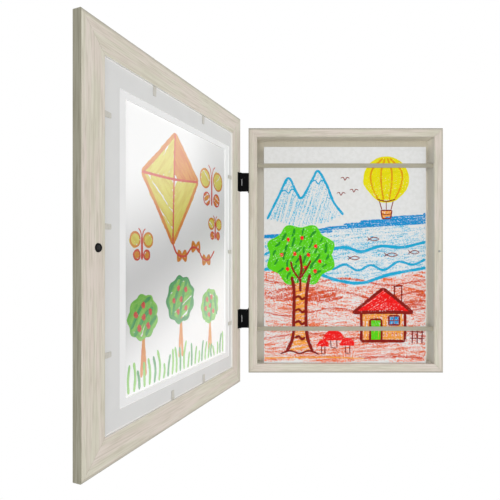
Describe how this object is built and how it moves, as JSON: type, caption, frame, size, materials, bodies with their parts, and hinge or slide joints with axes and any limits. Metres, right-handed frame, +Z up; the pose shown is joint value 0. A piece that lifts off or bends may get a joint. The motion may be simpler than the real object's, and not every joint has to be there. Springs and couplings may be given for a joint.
{
  "type": "childrens art frame",
  "caption": "Shallow wall-hung box frame that stores drawings behind straps, with a glazed and matted door on side hinges that shows one drawing.",
  "frame": {"origin": "centre of the box's back face, on the back panel, where the frame stands against the wall", "axes": "+X to the right seen from the room, +Y into the wall, +Z up; the door is hinged at -X and stands open towards -Y"},
  "size_m": [0.4075, 0.3042, 0.367],
  "materials": {
    "box_laminate": "pale greige wood-grain laminate, satin",
    "door_laminate": "pale greige wood-grain laminate, satin",
    "back_hardboard": "brown hardboard, smooth side out",
    "stored_paper": "cut edges of stacked drawing paper",
    "drawing_paper": "matt drawing paper with crayon and marker",
    "strap_elastic": "flat woven elastic, greige",
    "plated_steel": "bright zinc plate",
    "bumper_rubber": "translucent grey, soft",
    "pane_glass": "clear, polished",
    "clear_sheet": "clear, glossy",
    "front_mat_board": "white mat board, bevelled window",
    "grey_mat_board": "cool grey-white mat board",
    "pale_mat_board": "paler inner mat board",
    "point_steel": "soft grey-beige plate",
    "black_steel": "black, satin",
    "black_plastic": "black, fine texture",
    "magnet_steel": "dark grey plate"
  },
  "bodies": {
    "box": {"box_top_wall": "box_laminate", "box_right_wall": "box_laminate", "box_bottom_wall": "box_laminate", "box_left_wall": "box_laminate", "back_panel": "back_hardboard", "drawing_stack": "stored_paper", "top_drawing": "drawing_paper", "upper_strap": "strap_elastic", "lower_strap": "strap_elastic", "hanger_top": "plated_steel", "hanger_side": "plated_steel", "catch_pin": "plated_steel", "wall_bumper_1": "bumper_rubber", "wall_bumper_2": "bumper_rubber", "back_panel_pin_1": "plated_steel", "hanger_nail_1": "plated_steel", "back_panel_pin_2": "plated_steel", "hanger_nail_2": "plated_steel", "back_panel_pin_3": "plated_steel", "hanger_nail_3": "plated_steel", "back_panel_pin_4": "plated_steel", "hanger_nail_4": "plated_steel", "upper_hinge_box_leaf": "black_steel", "upper_hinge_pin": "black_steel", "upper_box_leaf_screw_1": "black_steel", "upper_box_leaf_screw_2": "black_steel", "lower_hinge_box_leaf": "black_steel", "lower_hinge_pin": "black_steel", "lower_box_leaf_screw_1": "black_steel", "lower_box_leaf_screw_2": "black_steel"},
    "door": {"door_top_rail": "door_laminate", "door_free_stile": "door_laminate", "door_bottom_rail": "door_laminate", "door_hinge_stile": "door_laminate", "glass_pane": "pane_glass", "front_mat": "front_mat_board", "door_drawing": "drawing_paper", "clear_cover": "clear_sheet", "inner_back_mat": "pale_mat_board", "outer_back_mat": "grey_mat_board", "magnet_cup": "black_plastic", "magnet_disc": "magnet_steel", "upper_hinge_door_leaf": "black_steel", "upper_door_leaf_screw_1": "black_steel", "upper_door_leaf_screw_2": "black_steel", "lower_hinge_door_leaf": "black_steel", "lower_door_leaf_screw_1": "black_steel", "lower_door_leaf_screw_2": "black_steel"},
    "free_stile_point_1_body": {"free_stile_point_1": "point_steel"},
    "free_stile_point_2_body": {"free_stile_point_2": "point_steel"},
    "free_stile_point_3_body": {"free_stile_point_3": "point_steel"},
    "top_rail_point_1_body": {"top_rail_point_1": "point_steel"},
    "top_rail_point_2_body": {"top_rail_point_2": "point_steel"},
    "bottom_rail_point_1_body": {"bottom_rail_point_1": "point_steel"},
    "bottom_rail_point_2_body": {"bottom_rail_point_2": "point_steel"},
    "hinge_stile_point_1_body": {"hinge_stile_point_1": "point_steel"},
    "hinge_stile_point_2_body": {"hinge_stile_point_2": "point_steel"},
    "hinge_stile_point_3_body": {"hinge_stile_point_3": "point_steel"}
  },
  "joints": [
    {"name": "door_hinge", "type": "hinge", "parent": "box", "child": "door", "pos_m": [-0.1475, -0.0295, 0], "axis": [0, 0, 1], "range_deg": [-67.16, 112.84]},
    {"name": "free_stile_point_1_bend", "type": "hinge", "parent": "door", "child": "free_stile_point_1_body", "pos_m": [-0.25429, -0.27803, 0.11025], "axis": [0, 0, -1], "range_deg": [0, 75]},
    {"name": "free_stile_point_2_bend", "type": "hinge", "parent": "door", "child": "free_stile_point_2_body", "pos_m": [-0.25429, -0.27803, 0.0167], "axis": [0, 0, -1], "range_deg": [0, 75]},
    {"name": "free_stile_point_3_bend", "type": "hinge", "parent": "door", "child": "free_stile_point_3_body", "pos_m": [-0.25429, -0.27803, -0.09072], "axis": [0, 0, -1], "range_deg": [0, 75]},
    {"name": "top_rail_point_1_bend", "type": "hinge", "parent": "door", "child": "top_rail_point_1_body", "pos_m": [-0.22651, -0.21206, 0.1575], "axis": [-0.3882, -0.9216, 0], "range_deg": [0, 75]},
    {"name": "top_rail_point_2_bend", "type": "hinge", "parent": "door", "child": "top_rail_point_2_body", "pos_m": [-0.18888, -0.12274, 0.1575], "axis": [-0.3882, -0.9216, 0], "range_deg": [0, 75]},
    {"name": "bottom_rail_point_1_bend", "type": "hinge", "parent": "door", "child": "bottom_rail_point_1_body", "pos_m": [-0.21409, -0.18259, -0.1575], "axis": [0.3882, 0.9216, 0], "range_deg": [0, 75]},
    {"name": "bottom_rail_point_2_bend", "type": "hinge", "parent": "door", "child": "bottom_rail_point_2_body", "pos_m": [-0.18841, -0.1216, -0.1575], "axis": [0.3882, 0.9216, 0], "range_deg": [0, 75]},
    {"name": "hinge_stile_point_1_bend", "type": "hinge", "parent": "door", "child": "hinge_stile_point_1_body", "pos_m": [-0.15881, -0.05132, 0.09734], "axis": [0, 0, 1], "range_deg": [0, 75]},
    {"name": "hinge_stile_point_2_bend", "type": "hinge", "parent": "door", "child": "hinge_stile_point_2_body", "pos_m": [-0.15881, -0.05132, -0.0022], "axis": [0, 0, 1], "range_deg": [0, 75]},
    {"name": "hinge_stile_point_3_bend", "type": "hinge", "parent": "door", "child": "hinge_stile_point_3_body", "pos_m": [-0.15881, -0.05132, -0.09765], "axis": [0, 0, 1], "range_deg": [0, 75]}
  ]
}
